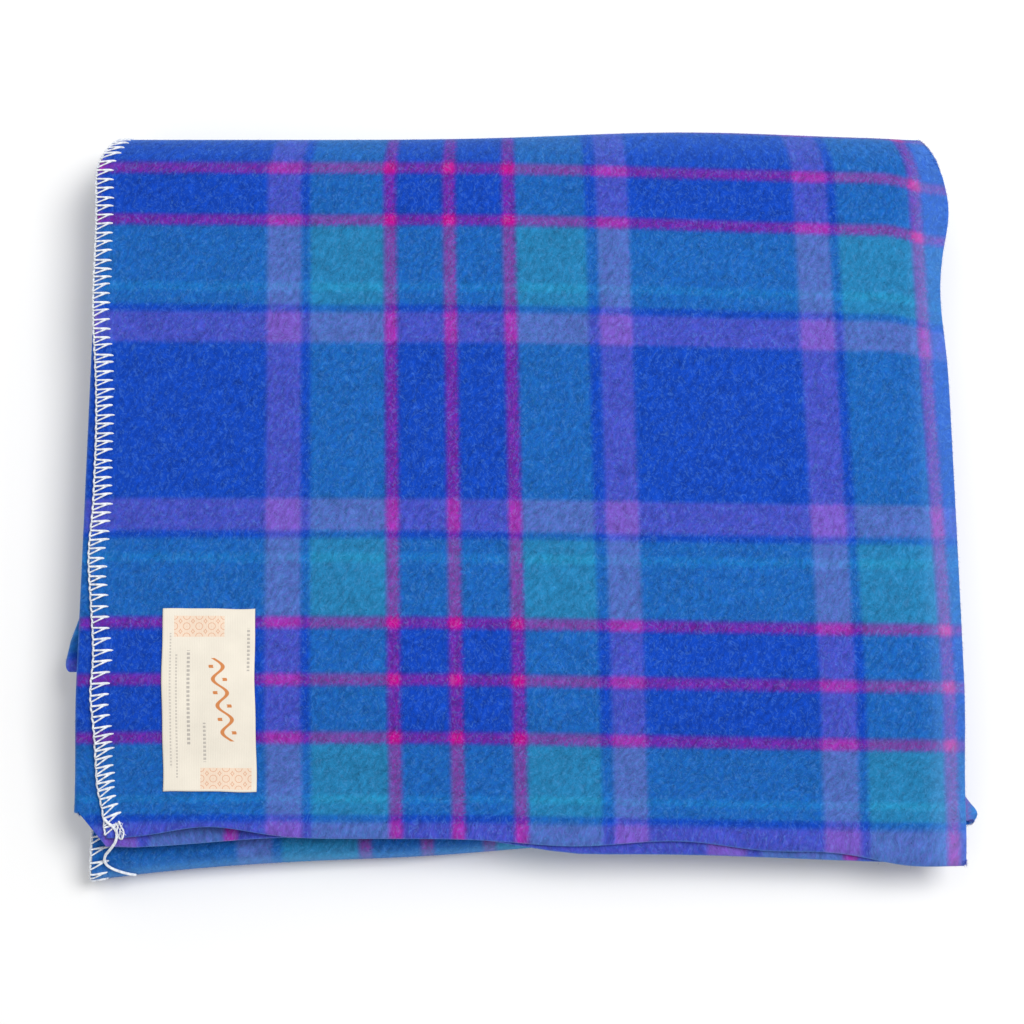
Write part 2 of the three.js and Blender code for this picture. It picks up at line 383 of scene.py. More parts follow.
    def sheet_points(self, c: Array, q: Array, offset: Array) -> tuple[Array, Array]:
        """Places of points of the folded sheet, and where they lie on the flat sheet.

        Args:
            c: Places along the length, 0 to 7.
            q: Places across the width, 0 to 7.
            offset: Distances from the sheet's middle towards its outer face.

        Returns:
            Places in metres on the last axis, and lengths from the cut end and the selvedge,
            in metres, on the last axis.
        """
        p = self.pitch
        c, q, offset = np.broadcast_arrays(c, q, offset)
        rows = self.rows(q)
        edges = self.edges(rows)
        section = np.clip(np.floor(c), 0, 6).astype(int)
        t = c - section
        k = section // 2
        folded = section % 2 == 1
        start = np.take_along_axis(edges, k[None], 0)[0]
        end = np.take_along_axis(edges, k[None] + 1, 0)[0]
        side = np.where(k == 1, -1.0, 1.0)
        angle = np.pi * t
        flat_x = start + (end - start) * t
        x = np.where(folded, end + side * p / 2 * np.sin(angle), flat_x)
        middle = np.where(folded, (2.5 - k) * p + p / 2 * np.cos(angle), (3.0 - k) * p)
        nx = np.where(folded, np.sin(angle), 0.0)
        nh = np.where(folded, side * np.cos(angle), np.where(k % 2 == 0, 1.0, -1.0))
        x = x + offset * nx
        points = self.place(x, middle + offset * nh, middle, rows)

        bend = np.pi * p / 2
        spans = np.abs(np.diff(edges, axis=0))
        starts = [edges[0] + self.cut_line]
        for i in range(3):
            starts.append(starts[-1] + spans[i] + bend)
        length = np.take_along_axis(np.stack(starts), k[None], 0)[0]
        length = length + np.abs(np.where(folded, end, flat_x) - start)
        length = length + np.where(folded, bend * t, 0.0)
        near_end = smooth(1 - np.abs(end - flat_x) / self.blend_width) * (k < 3)
        near_start = smooth(1 - np.abs(start - flat_x) / self.blend_width) * (k > 0)
        level = (3.0 - k) * p - 0.5 * p * near_end + 0.5 * p * near_start
        level = np.where(folded, (2.5 - k) * p, level)
        width = self.width_of(x, level, self.laid_y(x, middle, rows), rows)
        length = length + self.cloth_turn * (width - self.selvedge_line)
        return points, np.stack([length, width], axis=-1) * MM

    def width_of(self, x: Array, level: Array, y: Array, rows: Rows) -> Array:
        """Length from the selvedge to each place, along a panel at a height in the stack."""
        p = self.pitch
        lengths = [
            self.back_y + self.selvedge_line,
            np.pi * (4.5 * p + level),
            self.back_y - self.front_y,
            np.pi * (0.5 * p + level),
            self.back_y - self.front_y,
            np.pi * (3.5 * p - level),
        ]
        before = [np.zeros_like(x)]
        for piece in lengths:
            before.append(before[-1] + piece)
        turned = np.choose(np.minimum(rows.first, 2), [lengths[1], lengths[3], lengths[5]])
        left_over = self.back_bulge(x, np.full_like(x, self.back_y))
        within = np.select(
            [rows.section == 0, rows.section % 2 == 1, rows.section == 4],
            [
                y + self.back_bulge(x, y) + self.selvedge_line,
                turned * rows.part + np.where(rows.section == 1, left_over * (1 - rows.part), 0.0),
                y - self.front_y,
            ],
            self.back_y - y,
        )
        skew_y = np.where(rows.section == 0, y, self.back_y)
        skew = 4.5 * smooth((x + 80) / 330) * (1 + 0.5 * smooth(skew_y / 150))
        skew = skew + 6.5 * smooth((x - 208) / 40) * smooth((skew_y + 40) / 150)
        return np.choose(rows.section, before) + within + skew

    def row_at(self, length: Array, height: float) -> Array:
        """Place across the width, at a length from the front selvedge along a panel."""
        p = self.pitch
        spans = np.array(
            [
                self.back_y - self.front_row,
                np.pi * (4.5 * p + height),
                self.back_y - self.front_y,
                np.pi * (0.5 * p + height),
                self.back_y - self.front_y,
                np.pi * (3.5 * p - height),
                self.back_y - self.inner_row,
            ]
        )
        return np.interp(length, np.concatenate([[0.0], np.cumsum(spans)]), np.arange(8.0))

    def panel_width(self, height: float) -> float:
        """Length of a panel from selvedge to selvedge."""
        grid = np.linspace(0.0, 2000.0, 8001)
        return float(grid[np.searchsorted(self.row_at(grid, height), 7.0)])


PLAN = FoldPlan()


# ------------------------------------------------------------------------- mesh making
def link_object(name: str, data: bpy.types.ID) -> Object:
    """Links a new object into the scene, at the origin."""
    made = bpy.data.objects.new(name, data)
    bpy.context.scene.collection.objects.link(made)
    return made


def new_piece(name: str, shape: Mesh | Curve, material: Material, node: str = "") -> Object:
    """Links a shape into the scene as a piece that rides on the part's only body.

    Args:
        name: Name of the piece.
        shape: Its mesh or curve.
        material: Its finish.
        node: CAD node that the piece stands for, if any.

    Returns:
        The piece's object.
    """
    piece = link_object(name, shape)
    shape.materials.append(material)
    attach(piece, "root")
    if node:
        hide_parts(node)
    if isinstance(shape, Mesh):
        LOG.info("%s: %d faces", name, len(shape.polygons))
    return piece


def read_places(mesh: Mesh) -> Array:
    """Places of a mesh's vertices, one to a row."""
    places = np.empty(len(mesh.vertices) * 3)
    mesh.vertices.foreach_get("co", places)
    return places.reshape(-1, 3)


def set_uv(mesh: Mesh, name: str, per_vertex: Array) -> None:
    """Gives a mesh a UV map from one pair of values for each vertex."""
    corners = np.empty(len(mesh.loops), dtype=np.int32)
    mesh.loops.foreach_get("vertex_index", corners)
    layer = mesh.uv_layers.new(name=name)
    layer.data.foreach_set("uv", per_vertex[corners].astype(np.float32).ravel())


@dataclass(frozen=True)
class SheetLattice:
    """A closed sheet of cloth, made flat and then laid in place by a map."""

    columns: Array
    rows: Array

    def build(self, name: str, lay: SheetLay) -> Mesh:
        """Makes the sheet.

        Args:
            name: Name of the mesh.
            lay: Lays lattice places out; called with columns, rows and sides.

        Returns:
            A closed mesh with its faces pointing outwards.
        """
        bm = bmesh.new()
        across, up = len(self.columns) - 1, len(self.rows) - 1
        bmesh.ops.create_grid(bm, x_segments=across, y_segments=up, size=1.0)
        bmesh.ops.solidify(bm, geom=bm.faces[:], thickness=0.5)
        mesh = bpy.data.meshes.new(name)
        bm.to_mesh(mesh)
        bm.free()
        flat = read_places(mesh)
        column = np.rint((flat[:, 0] + 1) / 2 * across).astype(int)
        row = np.rint((flat[:, 1] + 1) / 2 * up).astype(int)
        middle = (flat[:, 2].max() + flat[:, 2].min()) / 2
        side = np.where(flat[:, 2] > middle, 1.0, -1.0)
        points, chart = lay(self.columns[column], self.rows[row], side, column, row)
        mesh.vertices.foreach_set("co", points.ravel())
        set_uv(mesh, "cloth", chart)
        self.turn_outwards(mesh)
        self.paint_fold_highlights(mesh)
        mesh.shade_smooth()
        return mesh

    @staticmethod
    def paint_fold_highlights(mesh: Mesh) -> None:
        """Paints a highlight into each vertex's rim value: pale where a face turns up on edge, and on the
        upper folds at the right and the back, where the light falls.
        """
        normals = np.empty(len(mesh.vertices) * 3, dtype=np.float32)
        mesh.vertex_normals.foreach_get("vector", normals)
        x, y, z = read_places(mesh).T
        # Painted highlight: faces that turn up on edge are painted pale, as lit nap looks at a grazing
        # angle.
        turned = smooth(EDGE_HIGHLIGHT_GAIN * (1 - np.abs(normals.reshape(-1, 3)[:, 2])))
        # Painted highlight on the upper folds at the right and the back, which face the key light.
        brushed = 0.6 * smooth((x - 0.229) / 0.016) + 0.3 * smooth((y - 0.19) / 0.03)
        rim = np.maximum(turned, np.where(z > UPPER_HALF, brushed, 0.0))
        highlight_layer = mesh.attributes.new("rim", "FLOAT", "POINT")
        highlight_layer.data.foreach_set("value", rim.astype(np.float32))

    @staticmethod
    def turn_outwards(mesh: Mesh) -> None:
        """Flips the faces of a closed mesh where they point inwards."""
        bm = bmesh.new()
        bm.from_mesh(mesh)
        if bm.calc_volume(signed=True) < 0:
            bmesh.ops.reverse_faces(bm, faces=bm.faces[:])
            bm.to_mesh(mesh)
        bm.free()
        mesh.update()


@dataclass(frozen=True)
class Strand:
    """A short closed tube, made once and then copied along many paths."""

    rings: int
    sides: int

    def template(self) -> tuple[Array, Array, list[list[int]]]:
        """Ring number and angle of each vertex, and the faces."""
        bm = bmesh.new()
        bmesh.ops.create_circle(bm, cap_ends=True, segments=self.sides, radius=1.0)
        cap = list(bm.faces)
        for _ in range(self.rings - 1):
            grown = bmesh.ops.extrude_face_region(bm, geom=cap)["geom"]
            moved = [part for part in grown if isinstance(part, bmesh.types.BMVert)]
            bmesh.ops.translate(bm, vec=(0, 0, 1), verts=moved)
            cap = [part for part in grown if isinstance(part, bmesh.types.BMFace)]
        bmesh.ops.recalc_face_normals(bm, faces=bm.faces[:])
        bm.verts.index_update()
        place = np.array([vertex.co[:] for vertex in bm.verts])
        faces = [[vertex.index for vertex in face.verts] for face in bm.faces]
        bm.free()
        ring = np.rint(place[:, 2]).astype(int)
        return ring, np.arctan2(place[:, 1], place[:, 0]), faces

    def copies(
        self, name: str, paths: Array, radii: Array, ups: Array, chart: Array | None = None
    ) -> Mesh:
        """Copies the tube along paths into one mesh.

        Args:
            name: Name of the mesh.
            paths: Places in metres, by path, ring and axis.
            radii: Radii in metres, by path and ring.
            ups: Directions that the tubes' first corners face, by path, ring and axis.
            chart: Place on the flat cloth for each path and ring, or None for the yarn's own map.

        Returns:
            The mesh of all the copies.
        """
        ring, angle, faces = self.template()
        tangent = unit(np.gradient(paths, axis=1))
        side = unit(np.cross(tangent, ups))
        up = np.cross(side, tangent)
        cos, sin = np.cos(angle)[None, :, None], np.sin(angle)[None, :, None]
        vertices = paths[:, ring] + radii[:, ring, None] * (up[:, ring] * cos + side[:, ring] * sin)
        vertices[..., 2] = np.maximum(vertices[..., 2], FLOOR_GAP)
        count, size = vertices.shape[:2]
        corner_counts = np.array([len(face) for face in faces])
        corners = np.concatenate([np.array(face) for face in faces])
        shifts = (np.arange(count) * size)[:, None]
        mesh = bpy.data.meshes.new(name)
        mesh.vertices.add(count * size)
        mesh.vertices.foreach_set("co", vertices.astype(np.float32).ravel())
        mesh.loops.add(count * len(corners))
        mesh.loops.foreach_set("vertex_index", (corners[None] + shifts).astype(np.int32).ravel())
        mesh.polygons.add(count * len(faces))
        totals = np.tile(corner_counts, count)
        starts = np.concatenate([[0], np.cumsum(totals)[:-1]])
        mesh.polygons.foreach_set("loop_start", starts.astype(np.int32))
        mesh.update(calc_edges=True)
        mesh.validate()
        steps = np.linalg.norm(np.diff(paths, axis=1), axis=-1)
        run = np.concatenate([np.zeros((count, 1)), np.cumsum(steps, axis=1)], axis=1)
        if chart is None:
            around = np.broadcast_to(angle / (2 * np.pi) * YARN_GIRTH, (count, size))
            chart_points = np.stack([around, run[:, ring]], axis=-1)
        else:
            chart_points = chart[:, ring]
        set_uv(mesh, "cloth", chart_points.reshape(-1, 2))
        mesh.shade_smooth()
        return mesh


# ------------------------------------------------------------------------- finishes
class Dye(Enum):
    """Yarn colours, as shares of full red, green and blue on a screen."""

    BLUE = (20 / 255, 74 / 255, 195 / 255)
    TEAL = (41 / 255, 131 / 255, 187 / 255)
    CYAN = (42 / 255, 158 / 255, 206 / 255)
    LAVENDER = (126 / 255, 93 / 255, 208 / 255)
    MAGENTA = (200 / 255, 16 / 255, 152 / 255)


# Turns the dyes' screen values into light.
SCREEN_GAMMA = 2.2

Stripe = tuple[float, Dye]


@dataclass(frozen=True)
class Sett:
    """Order of the stripes in one direction, from the middle of one group to the next.

    Attributes:
        centre: Length in millimetres from the edge to the middle of the first group.
        repeat: Length from one group to the next.
        stripes: Where each stripe starts, from half a repeat before the middle.
        softness: Width over which one colour gives way to the next.
    """

    centre: float
    repeat: float
    stripes: tuple[Stripe, ...]
    softness: float = 3.0


LENGTHS_SETT = Sett(
    centre=208.5,
    repeat=316.5,
    stripes=(
        (-158.25, Dye.BLUE),
        (-109.3, Dye.LAVENDER),
        (-88.6, Dye.BLUE),
        (-83.5, Dye.TEAL),
        (-39.3, Dye.MAGENTA),
        (-31.7, Dye.BLUE),
        (-3.9, Dye.MAGENTA),
        (3.9, Dye.BLUE),
        (31.8, Dye.MAGENTA),
        (39.6, Dye.TEAL),
        (81.8, Dye.BLUE),
        (88.4, Dye.LAVENDER),
        (107.8, Dye.BLUE),
    ),
)
WIDTHS_SETT = Sett(
    centre=87.0,
    repeat=310.0,
    stripes=(
        (-155.0, Dye.BLUE),
        (-109.5, Dye.LAVENDER),
        (-90.3, Dye.BLUE),
        (-86.0, Dye.TEAL),
        (-77.5, Dye.CYAN),
        (-72.0, Dye.TEAL),
        (-36.2, Dye.MAGENTA),
        (-29.3, Dye.BLUE),
        (-3.5, Dye.MAGENTA),
        (3.5, Dye.BLUE),
        (29.4, Dye.MAGENTA),
        (36.2, Dye.TEAL),
        (68.0, Dye.CYAN),
        (73.5, Dye.TEAL),
        (82.5, Dye.BLUE),
        (86.5, Dye.LAVENDER),
    ),
)
# Upper edge of the last lavender stripe across the width, which has no stop left in its ramp.
LAST_LAVENDER_END = 106.0
# Lengths from the selvedge, and where they lie in the chart: the groups close up under the pack.
TRUE_WIDTHS = (-20.0, 8.0, 51.0, 430.0, 668.0, 943.0, 1205.0, 1468.0, 1510.0, 1557.0, 1585.0)
CHART_WIDTHS = (-22.5, -3.2, 50.8, 430.0, 707.0, 1017.0, 1327.0, 1637.0, 1673.2, 1727.2, 1746.5)
# Length of the sett that is left out where the second panel lies hidden.
LENGTH_LEFT_OUT = 37.5


class NodeBench:
    """Adds nodes to a tree and links them, in few words."""

    def __init__(self, tree: NodeTree) -> None:
        """Starts on a node tree."""
        self.tree = tree

    def add(self, kind: str, inputs: dict | None = None, **settings: object) -> Node:
        """Adds a node.

        Args:
            kind: Type name of the node, without ShaderNode.
            inputs: Values or sockets for its inputs, by name or number.
            settings: Its own settings.

        Returns:
            The new node.
        """
        node = self.tree.nodes.new(kind if kind.startswith("Node") else f"ShaderNode{kind}")
        for key, value in settings.items():
            setattr(node, key, value)
        for key, value in (inputs or {}).items():
            if isinstance(value, NodeSocket):
                self.tree.links.new(value, node.inputs[key])
            else:
                node.inputs[key].default_value = value
        return node

    def math(self, operation: str, *values: object, clamp: bool = False) -> NodeSocket:
        """Adds a Math node and returns its result."""
        inputs = dict(enumerate(values))
        return self.add("Math", inputs, operation=operation, use_clamp=clamp).outputs[0]

    def mix(self, share: object, first: object, second: object) -> NodeSocket:
        """Mixes two colours and returns the result."""
        return self.add("Mix", {0: share, 6: first, 7: second}, data_type="RGBA").outputs[2]

    def remap(
        self, value: object, low: float, high: float, to_low: float = 0.0, to_high: float = 1.0
    ) -> NodeSocket:
        """Moves a value from one range to another, held within it."""
        inputs = {0: value, 1: low, 2: high, 3: to_low, 4: to_high}
        return self.add("MapRange", inputs, clamp=True).outputs[0]

    def noise(self, place: object, scale: float, detail: float = 2.0, **more: float) -> NodeSocket:
        """Adds a noise texture and returns its value."""
        inputs = {"Vector": place, "Scale": scale, "Detail": detail, **more}
        return self.add("TexNoise", inputs).outputs[0]

    def scaled(self, vector: object, factor: object) -> NodeSocket:
        """Multiplies a vector or colour by a number."""
        return self.add("VectorMath", {0: vector, "Scale": factor}, operation="SCALE").outputs[0]

    def turned(self, place: object, angle: float, stretch: float) -> NodeSocket:
        """Turns a place about Z, then stretches what lies on it along Y."""
        first = self.add("Mapping", {"Vector": place, "Rotation": (0, 0, angle)}).outputs[0]
        return self.add("Mapping", {"Vector": first, "Scale": (1.0, stretch, 1.0)}).outputs[0]

    def apart(self, value: object, middle: object) -> NodeSocket:
        """Distance of a value from a middle."""
        return self.math("ABSOLUTE", self.math("SUBTRACT", value, middle))

    def dress(self, shader: Node, colour: object, height: object, strength: float, depth: float) -> None:
        """Links a colour and a relief to a shader."""
        relief = self.add("Bump", {"Strength": strength, "Distance": depth, "Height": height})
        self.tree.links.new(colour, shader.inputs["Base Color"])
        self.tree.links.new(relief.outputs[0], shader.inputs["Normal"])


def start_material(name: str, settings: dict[str, object]) -> tuple[Material, NodeBench, Node]:
    """Starts a material.

    Args:
        name: Name of the material.
        settings: Plain values for the shader's inputs, by name.

    Returns:
        The material, a bench on its nodes, and its shader.
    """
    material = bpy.data.materials.new(name)
    material.use_nodes = True
    shader = material.node_tree.nodes["Principled BSDF"]
    for label, value in settings.items():
        shader.inputs[label].default_value = value
    return material, NodeBench(material.node_tree), shader


def make_group(
    name: str, inputs: dict[str, str], outputs: dict[str, str]
) -> tuple[NodeBench, dict[str, NodeSocket], dict[str, NodeSocket]]:
    """Starts a shader node group.

    Args:
        name: Name of the group.
        inputs: Socket types by name.
        outputs: Socket types by name.

    Returns:
        A bench on the group, and the sockets of its inputs and outputs by name.
    """
    tree = bpy.data.node_groups.new(name, "ShaderNodeTree")
    for in_out, sockets in (("INPUT", inputs), ("OUTPUT", outputs)):
        for label, kind in sockets.items():
            tree.interface.new_socket(name=label, in_out=in_out, socket_type=f"NodeSocket{kind}")
    bench = NodeBench(tree)
    given, wanted = bench.add("NodeGroupInput").outputs, bench.add("NodeGroupOutput").inputs
    return bench, {name: given[name] for name in inputs}, {name: wanted[name] for name in outputs}


@dataclass(frozen=True)
class Grain:
    """Noise drawn out in one direction, as brushed fibres lie.

    Attributes:
        angle: Direction of the fibres, in degrees.
        stretch: Share of its change that is left along them.
        scale: Fineness, in bumps to the millimetre.
        detail: Octaves of finer noise.
        more: Other inputs of the noise, by name.
    """

    angle: float
    stretch: float
    scale: float
    detail: float
    more: tuple[tuple[str, float], ...] = ()

    def noise(self, bench: NodeBench, place: object) -> NodeSocket:
        """Value of the noise at a place."""
        turned = bench.turned(place, math.radians(self.angle), self.stretch)
        return bench.noise(turned, self.scale, self.detail, **dict(self.more))


@dataclass
class WoolEffects:
    """Node groups that the wool finishes share."""

    nap: NodeTree = field(init=False)
    plaid: NodeTree = field(init=False)
    tufts: Grain = Grain(32, 0.42, 0.38, 3.0, (("Roughness", 0.62),))
    fine: Grain = Grain(24, 0.5, 1.9, 2.0, (("Roughness", 0.6),))
    sway: Grain = Grain(38, 0.5, 0.8, 2.0)
    wisps: Grain = Grain(47, 0.22, 1.05, 1.0)
    flecks: Grain = Grain(-20, 0.55, 0.6, 2.5, (("Distortion", 1.4),))
    wander: float = 7.0
    stray: float = 2.4

    def __post_init__(self) -> None:
        """Builds the groups."""
        self.nap = self.make_nap()
        self.plaid = self.make_plaid()

    def make_nap(self) -> NodeTree:
        """Brushed nap: tufts that lie in the weave's diagonal, specks, wisps and broad clouds."""
        wanted = ("Shade", "Sway", "Wisps", "Flecks", "Specks", "Height")
        bench, given, results = make_group(
            "Brushed nap", {"Place": "Vector"}, dict.fromkeys(wanted, "Float")
        )
        place = bench.scaled(given["Place"], 1 / MM)
        stray = bench.add("TexNoise", {"Vector": place, "Scale": 0.09, "Detail": 2.0}).outputs[1]
        stray = bench.add("VectorMath", {0: stray, 1: (0.5,) * 3}, operation="SUBTRACT").outputs[0]
        inputs = {0: stray, 1: (self.wander,) * 3, 2: place}
        moved = bench.add("VectorMath", inputs, operation="MULTIPLY_ADD").outputs[0]
        tufts, fine = self.tufts.noise(bench, moved), self.fine.noise(bench, moved)
        clouds, spots = bench.noise(place, 0.045), bench.noise(place, 0.72, 1.0)
        shade: object = 1.0
        for part, weight in ((tufts, 1.35), (fine, 0.4), (clouds, 0.22)):
            shade = bench.math("MULTIPLY_ADD", bench.math("SUBTRACT", part, 0.5), weight, shade)
        made = {
            "Shade": shade,
            "Sway": bench.math("SUBTRACT", self.sway.noise(bench, moved), 0.5),
            "Wisps": bench.remap(self.wisps.noise(bench, moved), 0.66, 0.8),
            "Flecks": bench.remap(self.flecks.noise(bench, moved), 0.5, 0.74),
            "Specks": bench.remap(spots, 0.33, 0.22),
            "Height": bench.math("MULTIPLY_ADD", fine, 0.45, tufts),
        }
        for label, value in made.items():
            bench.tree.links.new(value, results[label])
        return bench.tree

    @staticmethod
    def share_of_sett(bench: NodeBench, sett: Sett, length: object) -> NodeSocket:
        """How far through its repeat a place in a sett lies."""
        start = sett.centre - sett.repeat / 2
        share = bench.math("DIVIDE", bench.math("SUBTRACT", length, start), sett.repeat)
        return bench.math("FRACT", share)

    def chart_ramp(self, bench: NodeBench, sett: Sett, length: object) -> NodeSocket:
        """Colour of a place in a sett."""
        ramp = bench.add("ValToRGB", {0: self.share_of_sett(bench, sett, length)})
        ramp.color_ramp.interpolation = "LINEAR"
        stops = [(0.0, sett.stripes[0][1])]
        for (_, before), (place, after) in zip(sett.stripes, sett.stripes[1:]):
            middle = place / sett.repeat + 0.5
            half = sett.softness / sett.repeat / 2
            stops += [(middle - half, before), (middle + half, after)]
        elements = ramp.color_ramp.elements
        while len(elements) < len(stops):
            elements.new(1.0)
        for element, (place, _) in zip(elements, stops):
            element.position = place
        for element, (_, dye) in zip(elements, stops):
            element.color = (*dye.value, 1.0)
        return ramp.outputs[0]

    def make_plaid(self) -> NodeTree:
        """Colour of the woven plaid, where each thread shows about half of the time."""
        bench, given, results = make_group(
            "Woven plaid", {"Place": "Vector", "Sway": "Float"}, {"Color": "Color"}
        )
        parts = bench.add("SeparateXYZ", {0: given["Place"]}).outputs
        stray = bench.math("MULTIPLY", given["Sway"], self.stray)
        length, width = (bench.math("MULTIPLY_ADD", part, 1 / MM, stray) for part in parts[:2])
        along = self.chart_ramp(bench, LENGTHS_SETT, length)
        across = self.chart_ramp(bench, WIDTHS_SETT, width)
        past = self.share_of_sett(bench, WIDTHS_SETT, width)
        limit = LAST_LAVENDER_END / WIDTHS_SETT.repeat + 0.5
        soft = WIDTHS_SETT.softness / WIDTHS_SETT.repeat / 2
        ended = bench.remap(past, limit - soft, limit + soft)
        across = bench.mix(ended, across, (*Dye.BLUE.value, 1.0))
        blend = bench.math("MULTIPLY_ADD", given["Sway"], 0.5, 0.5, clamp=True)
        tone = bench.add("Gamma", {0: bench.mix(blend, along, across), 1: SCREEN_GAMMA}).outputs[0]
        bench.tree.links.new(tone, results["Color"])
        return bench.tree


@dataclass(frozen=True)
class WoolFinish:
    """Napped plaid wool.

    Attributes:
        name: Name of the material.
        strength: Brightness of the dyes.
        pale: Share of pale fibre in it.
        rim: Share of painted highlight, in the pale fibre colour, where the cloth turns over a fold or
            faces the lights.
        relief: Depth of the nap's relief, in metres.
    """

    name: str
    strength: float
    pale: float = 0.0
    rim: float = 0.36
    relief: float = 0.0011
    # Pale fibre colour: the real pale fibres, and also the colour of the painted highlight on folds.
    fibre: Triple = (0.15, 0.40, 0.84)

    def material(self, effects: WoolEffects) -> Material:
        """Builds the material."""
        material, bench, shader = start_material(
            self.name,
            {
                "Roughness": 0.94,
                "Specular IOR Level": 0.12,
                "Sheen Weight": 0.03,
                "Sheen Roughness": 0.45,
            },
        )
        place = bench.add("UVMap", uv_map="cloth").outputs[0]
        nap = bench.add("Group", node_tree=effects.nap)
        bench.tree.links.new(place, nap.inputs["Place"])
        plaid = bench.add("Group", node_tree=effects.plaid)
        bench.tree.links.new(place, plaid.inputs["Place"])
        bench.tree.links.new(nap.outputs["Sway"], plaid.inputs["Sway"])
        shade = bench.math("MULTIPLY", nap.outputs["Shade"], self.strength)
        darker = bench.math("MULTIPLY_ADD", nap.outputs["Specks"], -0.42, 1.0)
        coloured = bench.scaled(plaid.outputs[0], bench.math("MULTIPLY", shade, darker))
        # Painted highlight: rim pales the cloth on folds and edges; wisps and flecks are real pale fibres.
        rim = bench.add("Attribute", attribute_name="rim").outputs["Fac"]
        wisps: object = self.pale
        for part, weight in ((nap.outputs["Wisps"], 0.14), (rim, self.rim), (nap.outputs["Flecks"], 0.17)):
            wisps = bench.math("MULTIPLY_ADD", part, weight, wisps)
        colour = bench.mix(wisps, coloured, (*self.fibre, 1.0))
        bench.dress(shader, colour, nap.outputs["Height"], 0.55, self.relief)
        return material


@dataclass(frozen=True)
class YarnFinish:
    """White two-ply wool yarn."""

    name: str = "white_edge_yarn"
    colour: Triple = (0.86, 0.88, 0.9)
    shadow: Triple = (0.56, 0.6, 0.68)

    def material(self) -> Material:
        """Builds the material."""
        material, bench, shader = start_material(self.name, {"Roughness": 0.85, "Sheen Weight": 0.15})
        place = bench.add("TexCoord").outputs["Object"]
        hairs = bench.noise(bench.turned(place, 0.7, 0.35), 1500.0)
        plies = bench.noise(place, 620.0, 1.0)
        height = bench.math("MULTIPLY_ADD", hairs, 0.5, plies)
        shade = bench.remap(height, 0.5, 0.95)
        colour = bench.mix(shade, (*self.shadow, 1.0), (*self.colour, 1.0))
        bench.dress(shader, colour, height, 0.5, 0.0006)
        return material


@dataclass
class LabelPrint:
    """Masks of the label's ornament, 1 where there is ink.

    Attributes:
        bench: Bench on the label's material.
        u: Place across the label, in millimetres from its corner.
        v: Place along it.
    """

    bench: NodeBench
    u: NodeSocket
    v: NodeSocket

    def box(self, middle: Pair, half: Pair) -> NodeSocket:
        """Inside of a rectangle."""
        near = [
            self.bench.math("LESS_THAN", self.bench.apart(place, centre), reach)
            for place, centre, reach in zip((self.u, self.v), middle, half)
        ]
        return self.bench.math("MULTIPLY", *near)

    def scrolls(self, middle: Pair) -> NodeSocket:
        """A block of plain rings and leaves on a pale ground."""
        bench = self.bench
        cells = [
            bench.math("POWER", bench.math("PINGPONG", bench.math("SUBTRACT", place, centre), size), 2.0)
            for place, centre, size in zip((self.u, self.v), middle, (3.6, 3.0))
        ]
        rings = bench.math("PINGPONG", bench.math("SQRT", bench.math("ADD", *cells)), 1.0)
        lines = bench.remap(rings, 0.26, 0.08, 0.0, 0.8)
        return bench.math("MULTIPLY", self.box(middle, (14.5, 6.0)), lines)

    def garland(self) -> NodeSocket:
        """A waving stem with a bud in each bend."""
        bench = self.bench
        along = bench.math("SUBTRACT", self.v, 52.0)
        wave = bench.math("SINE", bench.math("MULTIPLY", along, 0.42))
        sweep = bench.math("MULTIPLY", wave, 3.4)
        aside = bench.math("SUBTRACT", self.u, bench.math("MULTIPLY_ADD", along, -0.17, 35.0))
        stem = bench.remap(bench.apart(aside, sweep), 1.35, 0.95)
        near = bench.remap(bench.apart(aside, bench.math("MULTIPLY", sweep, -1.0)), 1.5, 1.1)
        bent = bench.math("GREATER_THAN", bench.math("ABSOLUTE", wave), 0.93)
        reach = bench.math("LESS_THAN", bench.math("ABSOLUTE", along), 23.5)
        ink = bench.math("MAXIMUM", stem, bench.math("MULTIPLY", near, bent))
        return bench.math("MULTIPLY", ink, reach)

    def bars(self, across: float, low: float, high: float, weight: float) -> NodeSocket:
        """A row of plain bars.

        Args:
            across: Place of the row across the label.
            low: Where it starts along the label.
            high: Where it ends.
            weight: Boldness, 0 to 1.

        Returns:
            Its mask, as pale as the row is thin.
        """
        bench = self.bench
        box = self.box((across, (low + high) / 2), (0.35 + weight * 0.55, (high - low) / 2))
        period = 1.5 + 0.9 * weight
        dash = bench.math("GREATER_THAN", bench.math("PINGPONG", self.v, period / 2), period * 0.2)
        return bench.math("MULTIPLY", bench.math("MULTIPLY", box, dash), 0.35 + 0.3 * weight)


